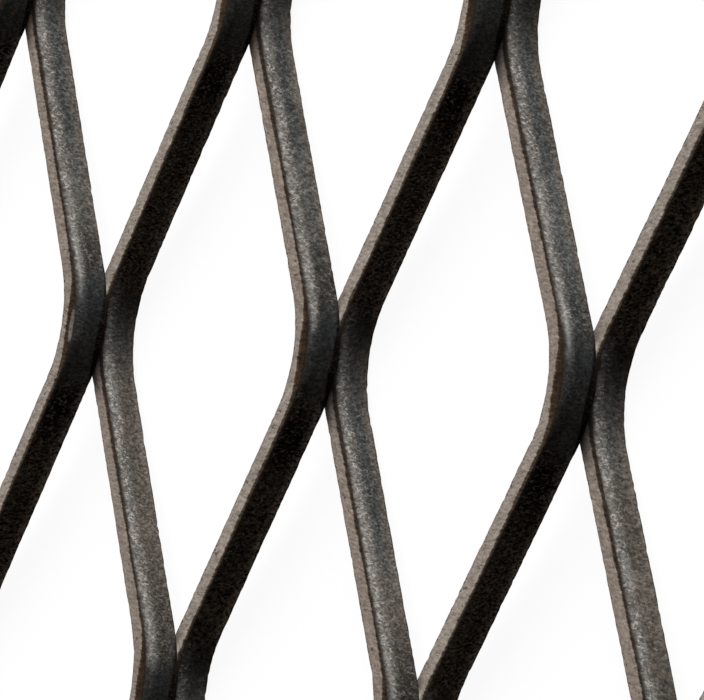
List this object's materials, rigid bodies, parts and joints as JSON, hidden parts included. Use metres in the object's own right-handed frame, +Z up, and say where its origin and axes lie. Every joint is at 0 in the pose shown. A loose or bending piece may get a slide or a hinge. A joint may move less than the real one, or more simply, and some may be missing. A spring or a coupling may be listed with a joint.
{
  "type": "expanded metal sheet",
  "caption": "Raised expanded steel sheet: one slit and stretched plate with diamond openings, for guards, walkways, panels and screens.",
  "frame": {"origin": "middle of the sheet's outline on the floor it lies on", "axes": "+X along the long way of the diamonds, +Y along their short way, +Z up"},
  "size_m": [0.5, 0.483, 0.0086],
  "materials": {
    "mill_scale_steel": "bare hot-rolled steel with dark mill scale and paler sheared edges"
  },
  "bodies": {
    "root": {"expanded_metal_sheet": "mill_scale_steel"}
  },
  "joints": []
}
